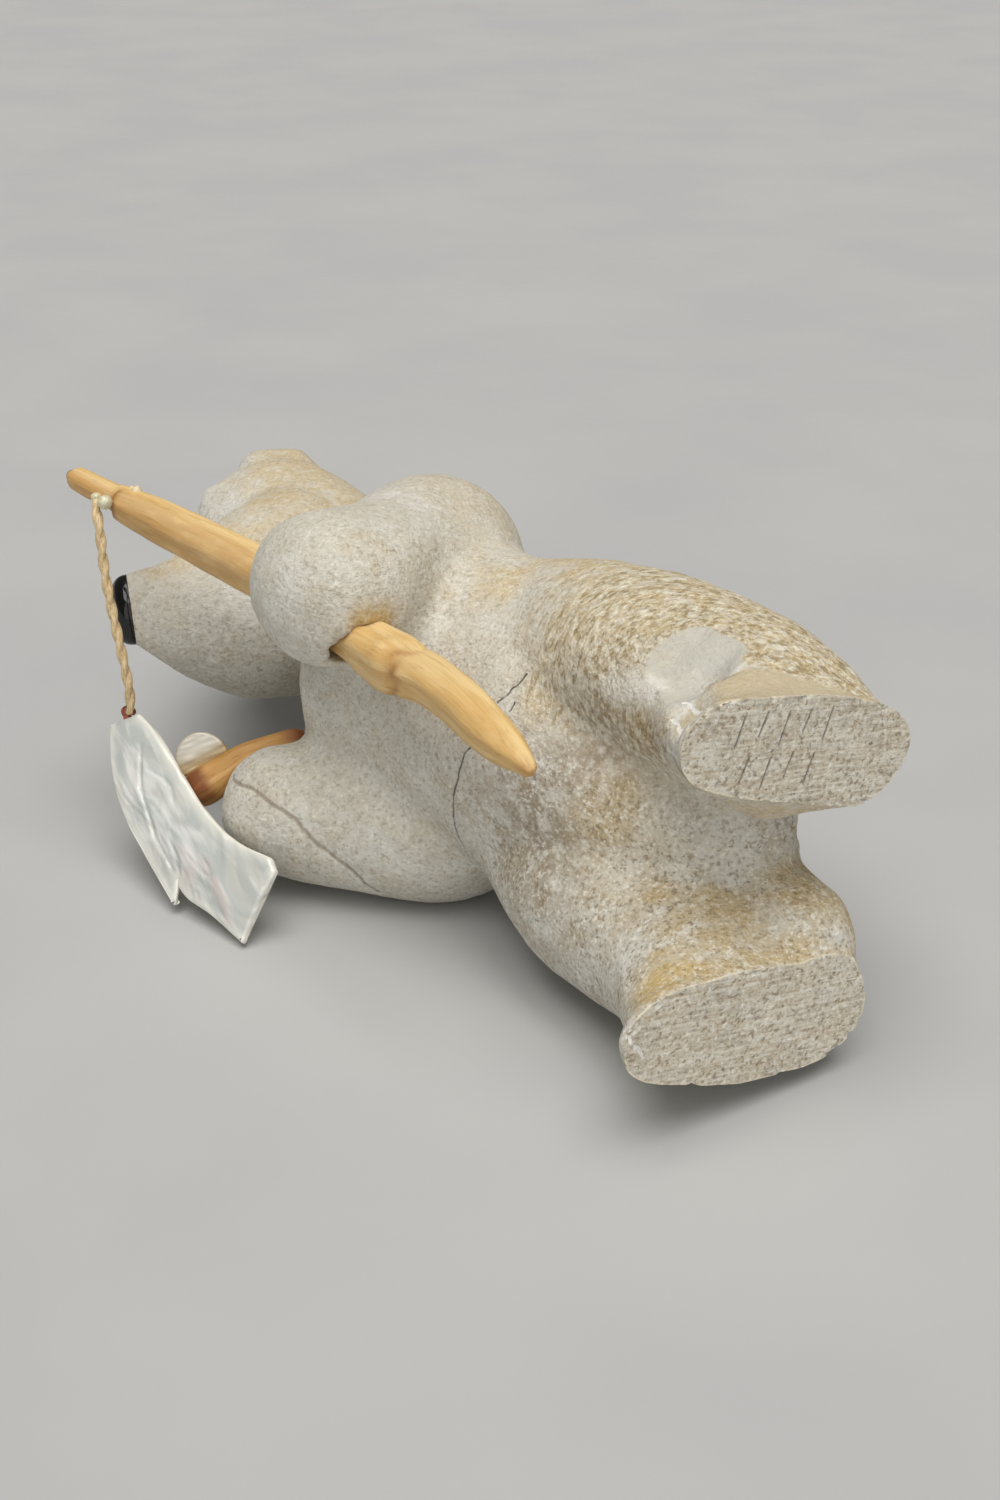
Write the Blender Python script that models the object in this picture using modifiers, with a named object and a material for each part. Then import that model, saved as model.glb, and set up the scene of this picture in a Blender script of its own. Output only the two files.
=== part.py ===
# A stone bear that holds a fishing rod and a hatchet, lying on its right side.
# The bear is modelled standing, in millimetres: X to its left, Y to its back, Z up from the soles.
# One empty then lays it down with its belly turned a little upwards.
import math

import bmesh
import bpy
from mathutils import Matrix, Vector

MM = 0.001
GAP = 0.3                      # clearance between touching pieces

# How the carving lies: where the middle of the soles is, and how far the belly is turned up.
SOLES_AT = (71.45, 1.35, 27.9)
BELLY_UP = 10.0

# The stone's block-out before it is smoothed, and the share of its faces that is kept.
VOXEL = 1.0
SMOOTHING = 14
STONE_DETAIL = 0.105

# Rows of overlapping ellipsoids block out the bear: middle x, y, z and half sizes x, y, z.
TORSO = [(0, 10, 20, 10, 11, 9), (0, 9, 29, 14, 14.5, 10), (0, 7.5, 42, 19, 17, 10),
         (0, 6, 55, 20.5, 17, 9), (0, 5, 67, 20.5, 17.5, 9), (0, 4, 77, 19, 18.5, 8),
         (0, 7, 87, 16.5, 14, 7), (0, 11, 97, 13, 10.5, 7), (0, 11, 108, 14.5, 13.5, 12),
         (0, 11, 126, 16.5, 16, 17)]
MUZZLE = [(-0.3, 4, 113, 16, 10, 14.5), (-1, -4.5, 110.5, 14, 8, 12.5), (-1.8, -11, 110.1, 10.3, 7.3, 9),
          (-2.1, -17, 110.7, 7.8, 6, 6.4), (-2.2, -20.5, 111.5, 6.5, 5, 5)]
EAR = [(12.3, 11.5, 136, 3.4, 3.8, 6), (12.6, 17.5, 136, 3.4, 3.8, 6)]
LEFT_LEG = [(11, 10, 56, 10.5, 12, 9), (13, 9, 45, 11.3, 13.5, 10), (14.8, 8, 33, 11.2, 14.5, 10),
            (15.6, 7.5, 22, 10.6, 15, 9), (15.8, 5.5, 12, 9.3, 15, 8), (16.2, 1.5, 4, 7.2, 15.5, 5)]
LEFT_FOOT = [(18.2, -10, 0, 5.6, 8, 4), (17.2, 0, 0, 6, 9, 5), (15.6, 9, 0, 6, 8.6, 5)]
RIGHT_LEG = [(-10.5, 10, 56, 10.3, 12, 9), (-12.2, 9.3, 46, 11.3, 13.8, 10), (-14.2, 8.2, 34, 12.6, 16, 10),
             (-15.2, 8, 24, 12, 15.8, 9), (-15.6, 6.5, 13, 10.4, 15.6, 8), (-16.2, 2.5, 4, 8, 16.5, 5)]
RIGHT_CALF = [(-8.5, 13, 16, 6, 7, 6), (-10, 12.5, 8, 6.6, 8, 6.5), (-12, 12, 4, 5.5, 7.5, 4)]
RIGHT_FOOT = [(-15.9, -9.5, 0, 6.3, 9, 4), (-16.7, 0, 0, 7.3, 10, 5), (-17.2, 10, 0, 6.8, 9.4, 5)]
LEFT_ARM = [(13.3, 5, 79, 13.3, 13, 13.5), (15.5, -5, 73.5, 10, 9.8, 10.5), (14.8, -13, 69.4, 10.2, 9.2, 10.8),
            (14.6, -18.3, 69, 10, 8.8, 11.5)]
RIGHT_ARM = [(-15, 8, 75, 13, 13, 13), (-16.4, 2.8, 64.2, 12, 12, 12.3), (-18.5, -7, 71.5, 10.4, 10.3, 10.6),
             (-19.5, -14, 78, 9.2, 9.2, 9.2)]
# Swellings of the side that it lies on: haunch and shoulder blade.
UNDERSIDE = [(-17, 13, 24, 9, 9, 9), (-15.5, 14, 80, 11, 9, 11)]

# The nose caps the muzzle's tip beyond a slanting flat.
NOSE = (-2.2, -20.5, 111.5, 6.1, 4.8, 4.8)
NOSE_FACING = (-0.13, -0.80, 0.58)
NOSE_FLAT = 2.4                # from the middle of the tip to the flat

# The left foot's toe has a hollow facet, and the right foot's toe a small flat ledge.
TOE_SCOOP = (24.9, -16, 10.5, 10)    # middle x, y, z and radius of the hollow
TOE_LEDGE = (-13, -19.5, 2)
TOE_LEDGE_FACING = (0.2, -0.8, -0.5)

# The rod's path, butt to tip: middle x, y, z and radius.
ROD = [(8, -19, 22, 1.2), (8.4, -18.2, 30, 2.9), (8.8, -17.6, 44, 3.5), (9.6, -17.6, 58, 3.4),
       (11.6, -19, 70, 3.1), (13, -20.3, 82, 3.5), (15, -25.5, 98, 3.0), (15.9, -28.2, 106, 2.4),
       (16.1, -28.8, 107.6, 2.0), (16.4, -29.5, 109.8, 1.95), (17, -31, 114.6, 1.7),
       (17.1, -31.2, 115.4, 0.9)]

# The line comes out of a small hole in the rod and hangs to the fish. Its knot sits beside the hole.
KNOT = (16.4, -31.45, 104.6, 0.9, 0.9, 1.1)
LINE = [(16.35, -29.4, 109.5), (15.7, -30.9, 108.0), (14.7, -31.8, 106.4), (12.5, -31.9, 104.9),
        (7.5, -31.2, 104.0), (2.9, -30.4, 102.9), (-1.7, -29.4, 101.7), (-5.9, -28.4, 100.8),
        (-9.3, -27.6, 100.7), (-12.3, -27.15, 101.2)]
LINE_RADIUS = 0.75

# The fish is a flat plate. Its outline: along it from the head, across it, and whether it is a corner.
FISH_HEAD = (-13.3, -26.9, 101.4)
FISH_TAIL = (-32.1, -25.5, 66.3)
FISH_FACING = (0.40, -0.88, -0.22)
FISH_THICKNESS = 1.6
FISH = [(-0.8, -3.2, True), (1.3, 1.8, True), (5.5, 2.8, False), (14.5, 3.4, False), (20.8, 4.0, False),
        (27.7, 5.9, False), (33.7, 9.4, True), (35.8, 9.1, True), (40.6, 0.0, True), (34.7, -2.0, False),
        (27.4, -4.7, False), (26.2, -4.2, True), (28.9, -6.7, True), (18.9, -7.3, False),
        (12.1, -7.4, False), (5.5, -6.1, False)]

# The hatchet's handle, thin end first: middle x, y, z and radius. The blade stands on its thick end.
HANDLE = [(-11.1, -9.2, 83.2, 0.8), (-11.7, -10.3, 83.6, 1.6), (-13, -13.1, 84.6, 1.85),
          (-14.8, -16.5, 86.2, 2.0), (-17, -19, 87, 2.4), (-19, -21.1, 87.9, 2.75),
          (-20, -22.3, 88.8, 2.4), (-20.5, -22.9, 89.3, 1.2)]
BLADE_AT = (-18.3, -20.4, 87.9)
BLADE_UP = (0.80, -0.15, 0.60)
BLADE_FLAT = 2.0               # from the handle's middle to the blade's straight edge
BLADE_MIDDLE = 2.7             # from the handle's middle to the widest part of the blade
BLADE_RADIUS = 3.8
BLADE_RISE = 4.2
BLADE_THICKNESS = 1.2


def catmull_rom(rows, steps):
    """Rows of numbers joined smoothly, with so many steps between two rows."""
    ends = [[2 * a - b for a, b in zip(rows[0], rows[1])], [2 * a - b for a, b in zip(rows[-1], rows[-2])]]
    padded = [ends[0], *rows, ends[1]]
    joined = []
    for i in range(1, len(padded) - 2):
        p0, p1, p2, p3 = padded[i - 1:i + 3]
        for step in range(steps):
            t = step / steps
            joined.append([0.5 * (2 * b + (c - a) * t + (2 * a - 5 * b + 4 * c - d) * t * t
                                  + (3 * b - a - 3 * c + d) * t ** 3) for a, b, c, d in zip(p0, p1, p2, p3)])
    return joined + [list(rows[-1])]


def new_collection(name):
    collection = bpy.data.collections.new(name)
    bpy.context.scene.collection.children.link(collection)
    return collection


def add(name, data, collection, parent=None, material=None):
    obj = bpy.data.objects.new(name, data)
    collection.objects.link(obj)
    obj.parent = parent
    if material is not None:
        data.materials.append(material)
    return obj


def new_material(name, colour, roughness, metallic=0.0):
    mat = bpy.data.materials.new(name)
    mat.use_nodes = True
    shader = mat.node_tree.nodes["Principled BSDF"]
    shader.inputs["Base Color"].default_value = (*colour, 1.0)
    shader.inputs["Roughness"].default_value = roughness
    shader.inputs["Metallic"].default_value = metallic
    return mat


def add_ellipsoid(bm, row, fineness=3):
    x, y, z, hx, hy, hz = row
    place = Matrix.Translation(Vector((x, y, z)) * MM)
    size = Matrix.Diagonal((hx * MM, hy * MM, hz * MM, 1.0))
    bmesh.ops.create_icosphere(bm, subdivisions=fineness, radius=1.0, matrix=place @ size)


def mesh_from(bm, name):
    mesh = bpy.data.meshes.new(name)
    bm.to_mesh(mesh)
    bm.free()
    return mesh


def facing(point, direction, along=(1, 0, 0)):
    """A frame at the point, with Z along the direction and X as near as possible to the other one."""
    z = Vector(direction).normalized()
    x = (Vector(along) - Vector(along).dot(z) * z).normalized()
    frame = Matrix((x, z.cross(x), z)).transposed().to_4x4()
    return Matrix.Translation(Vector(point) * MM) @ frame


def as_cutter(obj):
    obj.hide_render = True
    obj.display_type = "WIRE"
    return obj


def box_cutter(name, low, high, collection, parent, place=None):
    bm = bmesh.new()
    bmesh.ops.create_cube(bm, size=1.0)
    low, high = Vector(low) * MM, Vector(high) * MM
    bmesh.ops.scale(bm, vec=high - low, verts=bm.verts)
    bmesh.ops.translate(bm, vec=(low + high) / 2, verts=bm.verts)
    cutter = as_cutter(add(name, mesh_from(bm, name), collection, parent))
    if place is not None:
        cutter.matrix_local = place
    return cutter


def cut(obj, cutter):
    boolean = obj.modifiers.new(cutter.name, "BOOLEAN")
    boolean.operation = "DIFFERENCE"
    boolean.object = cutter


def curve_tube(name, rows, collection, parent, mat=None, sides=3, extra=0.0, steps=3):
    """A tube along the joined rows of x, y, z and radius, with closed ends."""
    curve = bpy.data.curves.new(name, "CURVE")
    curve.dimensions = "3D"
    curve.bevel_depth = MM
    curve.bevel_resolution = sides
    curve.use_fill_caps = True
    points = catmull_rom(rows, steps)
    spline = curve.splines.new("POLY")
    spline.points.add(len(points) - 1)
    for point, (x, y, z, radius) in zip(spline.points, points):
        point.co = (x * MM, y * MM, z * MM, 1.0)
        point.radius = radius + extra
    return add(name, curve, collection, parent, mat)


def as_mesh(obj, collection):
    """The curve object as a mesh object with its caps welded."""
    depsgraph = bpy.context.evaluated_depsgraph_get()
    mesh = bpy.data.meshes.new_from_object(obj.evaluated_get(depsgraph))
    bm = bmesh.new()
    bm.from_mesh(mesh)
    bmesh.ops.remove_doubles(bm, verts=bm.verts, dist=1e-6)
    bm.to_mesh(mesh)
    bm.free()
    name, parent = obj.name, obj.parent
    bpy.data.objects.remove(obj)
    return add(name, mesh, collection, parent)


def build_stone(parts, cutters, pose, mat):
    bm = bmesh.new()
    for rows in (TORSO, MUZZLE, EAR, LEFT_LEG, LEFT_FOOT, RIGHT_LEG, RIGHT_CALF, RIGHT_FOOT,
                 LEFT_ARM, RIGHT_ARM):
        for row in catmull_rom(rows, 7):
            add_ellipsoid(bm, row)
    for x, y, z, hx, hy, hz in catmull_rom(EAR, 7):
        add_ellipsoid(bm, (-x, y, z, hx, hy, hz))
    for row in UNDERSIDE:
        add_ellipsoid(bm, row)
    stone = add("stone_bear", mesh_from(bm, "stone_bear"), parts, pose, mat)
    remesh = stone.modifiers.new("one_block", "REMESH")
    remesh.mode = "VOXEL"
    remesh.voxel_size = VOXEL * MM
    smooth = stone.modifiers.new("worn", "SMOOTH")
    smooth.factor = 0.5
    smooth.iterations = SMOOTHING
    decimate = stone.modifiers.new("fewer_faces", "DECIMATE")
    decimate.ratio = STONE_DETAIL
    cut(stone, box_cutter("sole_cut", (-60, -60, -30), (60, 60, 0), cutters, pose))
    cut(stone, box_cutter("floor_cut", (-200, -200, -60), (200, 200, 0), cutters, None))
    cut(stone, box_cutter("nose_cut", (-12, -12, NOSE_FLAT), (12, 12, 12), cutters, pose,
                          facing(NOSE[:3], NOSE_FACING)))
    cut(stone, box_cutter("toe_ledge_cut", (-15, -15, 0), (15, 15, 15), cutters, pose,
                          facing(TOE_LEDGE, TOE_LEDGE_FACING)))
    bm = bmesh.new()
    add_ellipsoid(bm, (*TOE_SCOOP[:3], *[TOE_SCOOP[3]] * 3))
    cut(stone, as_cutter(add("toe_scoop", mesh_from(bm, "toe_scoop"), cutters, pose)))
    for name, rows in (("rod_hole", ROD), ("handle_groove", HANDLE)):
        cut(stone, as_cutter(as_mesh(curve_tube(name, rows, cutters, pose, extra=GAP), cutters)))
    return stone


def build_nose(parts, cutters, pose, mat):
    bm = bmesh.new()
    add_ellipsoid(bm, NOSE)
    nose = add("nose", mesh_from(bm, "nose"), parts, pose, mat)
    cut(nose, box_cutter("nose_back", (-12, -12, -12), (12, 12, NOSE_FLAT + GAP), cutters, pose,
                         facing(NOSE[:3], NOSE_FACING)))
    return nose


def build_rod(parts, cutters, pose, mat):
    """The rod with the hole that its line comes out of."""
    rod = as_mesh(curve_tube("fishing_rod", ROD, parts, pose), parts)
    rod.data.materials.append(mat)
    line = [(*at, LINE_RADIUS) for at in LINE[:4]]
    cut(rod, as_cutter(as_mesh(curve_tube("line_hole", line, cutters, pose, extra=GAP), cutters)))
    return rod


def build_fish(parts, pose, mat):
    """A flat plate with sharp and rounded corners."""
    curve = bpy.data.curves.new("shell_fish", "CURVE")
    curve.dimensions = "2D"
    curve.fill_mode = "BOTH"
    curve.extrude = FISH_THICKNESS / 2 * MM
    curve.resolution_u = 5
    spline = curve.splines.new("BEZIER")
    spline.bezier_points.add(len(FISH) - 1)
    spline.use_cyclic_u = True
    for point, (along, across, corner) in zip(spline.bezier_points, FISH):
        point.co = (along * MM, across * MM, 0)
        point.handle_left_type = point.handle_right_type = "VECTOR" if corner else "AUTO"
    fish = add("shell_fish", curve, parts, pose, mat)
    along = Vector(FISH_TAIL) - Vector(FISH_HEAD)
    fish.matrix_local = facing(FISH_HEAD, FISH_FACING, along)
    return fish


def build_hatchet(parts, cutters, pose, wood_mat, shell_mat):
    handle = as_mesh(curve_tube("hatchet_handle", HANDLE, parts, pose, steps=2), parts)
    handle.data.materials.append(wood_mat)
    along = Vector(HANDLE[-2][:3]) - Vector(HANDLE[1][:3])
    place = facing(BLADE_AT, along.cross(Vector(BLADE_UP)), along)
    bm = bmesh.new()
    bmesh.ops.create_cone(bm, segments=32, radius1=BLADE_RADIUS * MM, radius2=BLADE_RADIUS * MM,
                          depth=BLADE_THICKNESS * MM, cap_ends=True)
    bmesh.ops.scale(bm, vec=(1, BLADE_RISE / BLADE_RADIUS, 1), verts=bm.verts)
    bmesh.ops.translate(bm, vec=(0, BLADE_MIDDLE * MM, 0), verts=bm.verts)
    blade = add("hatchet_blade", mesh_from(bm, "hatchet_blade"), parts, pose, shell_mat)
    blade.matrix_local = place
    cut(blade, box_cutter("blade_flat", (-9, -9, -3), (9, BLADE_FLAT, 3), cutters, pose, place))
    half_slot = BLADE_THICKNESS / 2 + GAP
    cut(handle, box_cutter("blade_slot", (-BLADE_RADIUS - GAP, BLADE_FLAT - GAP, -half_slot),
                           (BLADE_RADIUS + GAP, 9, half_slot), cutters, pose, place))


def main():
    for obj in list(bpy.data.objects):
        bpy.data.objects.remove(obj)
    parts = new_collection("bear_carving")
    cutters = new_collection("cutters")
    pose = add("lying_pose", None, parts)
    pose.matrix_world = (Matrix.Translation(Vector(SOLES_AT) * MM)
                         @ Matrix.Rotation(math.radians(-BELLY_UP), 4, "X")
                         @ Matrix.Rotation(math.radians(-90), 4, "Y"))
    bpy.context.view_layer.update()
    stone_mat = new_material("sandstone", (0.55, 0.50, 0.42), 0.85)
    wood_mat = new_material("light_wood", (0.60, 0.36, 0.16), 0.55)
    line_mat = new_material("sinew", (0.72, 0.58, 0.38), 0.6)
    shell_mat = new_material("mother_of_pearl", (0.80, 0.82, 0.78), 0.2)
    nose_mat = new_material("black_jet", (0.01, 0.01, 0.01), 0.15)
    build_stone(parts, cutters, pose, stone_mat)
    build_nose(parts, cutters, pose, nose_mat)
    build_rod(parts, cutters, pose, wood_mat)
    bm = bmesh.new()
    add_ellipsoid(bm, KNOT, fineness=2)
    add("line_knot", mesh_from(bm, "line_knot"), parts, pose, line_mat)
    curve_tube("fishing_line", [(*at, LINE_RADIUS) for at in LINE], parts, pose, line_mat, sides=2, steps=2)
    build_fish(parts, pose, shell_mat)
    build_hatchet(parts, cutters, pose, wood_mat, shell_mat)


main()
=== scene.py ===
import math

import bmesh
import bpy
import numpy as np
from mathutils import Matrix, Vector, noise
from mathutils.geometry import delaunay_2d_cdt
from mathutils.kdtree import KDTree


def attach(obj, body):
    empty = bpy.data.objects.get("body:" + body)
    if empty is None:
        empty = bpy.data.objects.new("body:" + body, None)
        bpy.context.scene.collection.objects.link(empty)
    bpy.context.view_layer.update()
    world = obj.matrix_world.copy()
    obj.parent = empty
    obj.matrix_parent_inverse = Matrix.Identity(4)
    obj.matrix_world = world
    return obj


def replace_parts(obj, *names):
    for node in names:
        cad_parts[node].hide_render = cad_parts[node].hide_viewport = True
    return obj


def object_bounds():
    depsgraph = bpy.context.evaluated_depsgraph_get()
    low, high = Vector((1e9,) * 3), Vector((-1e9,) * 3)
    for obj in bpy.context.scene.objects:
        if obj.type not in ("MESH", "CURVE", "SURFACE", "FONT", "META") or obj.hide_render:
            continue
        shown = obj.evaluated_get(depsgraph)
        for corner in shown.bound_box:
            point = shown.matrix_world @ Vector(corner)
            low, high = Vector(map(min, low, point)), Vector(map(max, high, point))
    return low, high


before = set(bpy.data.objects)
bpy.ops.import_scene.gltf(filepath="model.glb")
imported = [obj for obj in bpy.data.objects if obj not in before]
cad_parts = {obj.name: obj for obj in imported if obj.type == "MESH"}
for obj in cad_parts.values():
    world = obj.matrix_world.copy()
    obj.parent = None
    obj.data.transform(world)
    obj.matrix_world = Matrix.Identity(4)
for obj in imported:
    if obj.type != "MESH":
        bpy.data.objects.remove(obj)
cad_low, cad_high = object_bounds()

# Places are in millimetres on the bear as it would stand: X to its left, Y to its back, Z up from
# its soles. This pose lays it on its right side, with its belly turned a little upwards.
MM = 0.001
SOLES_AT = (71.45, 1.35, 27.9)
BELLY_UP = math.radians(10)
TURN = np.array(Matrix.Rotation(-BELLY_UP, 3, "X") @ Matrix.Rotation(-math.pi / 2, 3, "Y"))

# The camera: where it stands and which way it looks, in the room.
CAMERA_AT = (0.22865, -0.14535, 0.1445)
AZIMUTH, ELEVATION = math.radians(55), math.radians(25)
LENS = 52.8
SENSOR = 36  # along the picture's long side
NEAREST_SEEN = 0.01

# Two soft lights: the way to each, its strength and how many degrees wide it is. Then the room's own light.
KEY_LIGHT = ((0.18, -0.14, 0.97), 2.66, 55)
SIDE_LIGHT = ((0.8, -0.52, 0.3), 1, 70)
ROOM_LIGHT = 0.13

# The floor is flat near the bear and rises gently towards its rim, in metres.
FLOOR_FLAT = 2
FLOOR_REACH = 7.2
FLOOR_RISE = 0.7
FLOOR_SIDES, FLOOR_RINGS = 96, 11

# The line: where it comes out of the rod, and its way to the fish.
LINE = [(16.35, -29.4, 109.5), (15.7, -30.9, 108), (14.7, -31.8, 106.4), (12.5, -31.9, 104.9),
        (7.5, -31.2, 104), (2.9, -30.4, 102.9), (-1.7, -29.4, 101.7), (-5.9, -28.4, 100.8),
        (-9.3, -27.5, 100.6), (-12.7, -26.75, 101.05)]
LINE_THICK = 1.5
PLY_RADIUS = 0.5  # of each of its two twisted plies
PLY_OFFSET = 0.24  # from the line's middle to a ply's middle
TWIST_PITCH = 6.4  # along the line for a whole turn

# The stone's surface.
STONE_GRID = 0.75  # between the points of its surface
SMOOTH_ROUNDS = 24
SAME_POINT = 0.002  # nearer than this, two points are one
ON_FLAT = 0.02  # nearer than this, a point is on the muzzle's flat end
PAST_FLAT = 2  # a flat end is made this much too long, then sawn off clean
SAWN_GRID = 0.32
MUZZLE_END = (-2.51, -22.42, 112.89)
MUZZLE_END_FACING = (-0.13, -0.8, 0.58)
MUZZLE_END_REACH = 9
NOSE_SEAT = (-1.26, -21.87, 112.95)
NOSE_SEAT_REACH = 12
NOSE_FACING = (-0.23, -0.89, 0.4)
# Flat cuts with soft edges: a place on each, the way that it faces and how far it reaches.
SHAVES = [((-8.9, -17.4, 110.2), (-0.83, -0.56, 0), 9), ((-0.35, 15.1, 12.2), (0.63, 0.68, -0.39), 8),
          ((9.1, -2.7, 129.8), (0.03, -0.87, 0.5), 8), ((11.7, 1.7, 133), (0.78, -0.43, 0.46), 8),
          ((14.5, 17.9, 130.9), (0.82, 0.56, -0.14), 8), ((15.8, 13.3, 136.3), (0.97, 0.04, 0.22), 7),
          ((15.5, 7.4, 134.5), (0.08, -0.85, 0.52), 3)]
SHAVE_SOFT = 0.3
# Fuller places: where, which way, how far round and how much.
SWELLS = [((10.87, -1.53, 131.23), (0.15, -0.74, 0.65), 5, 1.3),
          ((3.3, -22.3, 113.4), (0.93, 0.08, 0.35), 4, 0.6),
          ((8.8, 5, 7), (-0.98, -0.1, 0.1), 9, 2.6), ((9.8, 11.5, 4), (-0.98, -0.1, 0.1), 7, 2)]

# Cracks: the dark ones on the belly, and the short ones on the shoulder and behind the ear.
CRACKS = [[(4.1, -9.2, 44.2), (1.7, -9.7, 45.1), (-2.5, -9.8, 46.9), (-8.4, -8.5, 48.5),
           (-12.9, -6.2, 49.7), (-15.7, -4, 50), (-16.9, -2.8, 48.6)],
          [(11.5, -5.8, 41.5), (9.5, -7.1, 42.4), (7.5, -8.2, 43.5)],
          [(8.2, -7.4, 41), (7.1, -7.8, 40.9)]]
CRACK_WIDTH, CRACK_DEPTH = 0.34, 0.28
SCORES = [[(24.9, -9.5, 71.6), (25.3, -4.9, 74.9), (25.7, -0.5, 75.1), (25.8, 3, 75.2), (25.6, 7, 75.3),
           (24.5, 10.6, 75.6)],
          [(24.3, 4.5, 71.5), (23.6, 6.7, 71), (22.6, 9.1, 70.7)],
          [(14.9, 6.7, 116.7), (15.3, 8.9, 118.6), (15.6, 10.5, 119.4)]]
SCORE_WIDTH, SCORE_DEPTH = 0.55, 0.2
# The brown vein across the lower arm.
VEIN = [(-15.5, -20.9, 81.9), (-15, -21.7, 78.7), (-15.6, -19.9, 72.3), (-17.4, -18, 68.9),
        (-20.2, -15.4, 65.7), (-22.6, -12.5, 63.6), (-25.8, -7.9, 62.4)]
VEIN_WIDTH, VEIN_DEPTH = 0.6, 0.14
# White chips by the toes, and the chips along the soles' edges.
CHIPS = [[(19.1, -7.9, 11), (19, -8.2, 9.3), (20, -10.5, 6)],
         [(17.4, -9.6, 10), (17.1, -10.4, 8.4), (18, -12.5, 5.5)],
         [(14.1, -10.1, 10.1), (14.5, -11.4, 7.7), (15.3, -13.5, 5)],
         [(-13.9, -17.4, 0.4), (-14.4, -17.3, 0.1), (-15.2, -16.9, 0.1)],
         [(-15.9, -16.3, 0.1), (-17.5, -15, 0.1)]]
CHIP_WIDTH, CHIP_DEPTH = 0.4, 0.12
RIM_CHIP_DEPTH = 0.35
# Pale lines, each a line and its width: a painted highlight along the rounded ridge beside the chest, and a
# pale band above the left toe.
PALE_AND_HIGHLIGHT = [([(2, -13.7, 79.5), (0.2, -13.7, 78.8), (-2.2, -14, 77.5), (-5.1, -13.3, 77.8),
          (-8.8, -11.6, 79.6)], 0.9),
        ([(15.8, -7, 24.1), (17.3, -7.3, 20.5), (18.2, -7.6, 17.1)], 3)]
# The hollow facet above the left toe, carved by a ball: its middle and radius. It ends below at a lip,
# and a smooth bevel runs from that to the sole. The lip's places are to the back and up.
TOE_FACET = (32.2, -11.4, 14.5)
TOE_FACET_RADIUS = 14
TOE_FACET_LOOKS = (0.84, -0.53, 0.12)
TOE_LIP = [(-12, 8.6), (-9.5, 9.2), (-8, 9.6), (-5.7, 8.6), (-1.7, 8.4), (0.5, 5.6), (3.5, 3),
           (8.5, 0.3), (9.5, -1)]
# Rasp marks run in rings round this axis on the left leg.
RASP_AT = (21, -6, 14)
RASP_AXIS = (0.55, -0.75, -0.35)
RING_STRETCH = 8  # a turn's length in the rings' own measure, far less than on the stone
# Golden rind and brown stains: the middle, radius and strength of each patch.
GOLDEN = [(-11.4, -11, 3.8, 4, 1), (-10.5, -6.6, 2.5, 3.5, 0.9), (-9.6, 0, 2, 3.5, 0.7),
          (-9.5, 8, 1.5, 3.5, 0.7), (21.9, -4.7, 19.3, 1.6, 1.2), (24, -1.7, 19.5, 2, 0.6),
          (19.6, -6.8, 18.6, 1.5, 1.3), (2, -3.4, 24, 5, 0.6), (-6, -6, 18, 5, 0.5), (-3, -4, 27, 4, 0.5),
          (12.8, -7, 17.5, 3.5, 0.9), (14, -7, 24, 4, 0.5), (13.5, -16.5, 57.8, 2.3, 1.4),
          (13.9, -19.5, 58.2, 1.6, 1.2), (8.5, 2, 4.5, 4.5, 0.5), (9, 10, 3.5, 4.5, 0.7),
          (8, -5, 6, 4, 0.45), (-11.9, -13, 2.6, 2.2, 1.3), (-10.5, -8, 3.6, 1.8, 1.2)]
STAINS = [(12.7, -6.6, 22.4, 4.5, 0.4), (12.4, -7.6, 15.5, 3, 0.6), (5.7, -4, 27.6, 5, 0.5),
          (13.8, -6.7, 27, 3.5, 0.4), (-8, -8, 33, 7, 0.5), (0, -7, 36, 6, 0.4),
          (-12.5, -17.5, 1.5, 1.4, 0.8), (13.4, -12, 5.5, 1.8, 0.9)]
RIND_LOOKS = (1, 0.35, 0)
# Rows of short slanting strokes scratched into the left sole: the rows' places to the left and back.
STROKE_ROWS = [(19.8, (-9.4, -6.2, -3, 0.2, 3.4)), (14.8, (-7.8, -4.6, -1.4, 1.8))]
STROKE_LENGTH = 3.8
STROKE_SLANT = 0.9
STROKE_WIDTH, STROKE_DEPTH = 0.26, 0.22

# The rod, butt to tip: middle x, y, z and radius.
ROD = [(7.7, -18.65, 21.5, 0.35), (7.85, -18.75, 22, 0.95), (8.25, -18.7, 23.9, 1.5),
       (8.65, -18.4, 27.6, 2.35), (9.1, -18.05, 32, 2.8), (9.95, -17.8, 36.4, 2.95),
       (10.5, -17.5, 42.6, 3.05), (10.4, -17.4, 47.3, 3.3), (10.1, -17.4, 52.1, 3.9),
       (10.3, -17.45, 56.5, 3.65), (10.35, -17.5, 58.8, 3.45), (10.35, -17.7, 60.4, 3.05),
       (10.4, -18, 62.2, 2.7), (10.6, -18.2, 64, 2.65), (11.6, -19, 70, 2.7), (13, -20.3, 82, 3.3),
       (15, -25.5, 98, 3), (15.9, -28.2, 106, 2.45), (16.1, -28.8, 107.6, 2.1),
       (16.4, -29.5, 109.8, 1.95), (17, -31, 114.6, 1.7), (17.08, -31.2, 115.3, 1.1),
       (17.1, -31.24, 115.45, 0.5)]
# How high up its knot in the wood, the dark band below that and the notch for the line are.
ROD_KNOT, ROD_BAND, ROD_NOTCH = 51.8, 49, 106.2
ROD_TOP = (0.9, -0.35, -0.2)  # the way that its flat upper face looks

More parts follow.
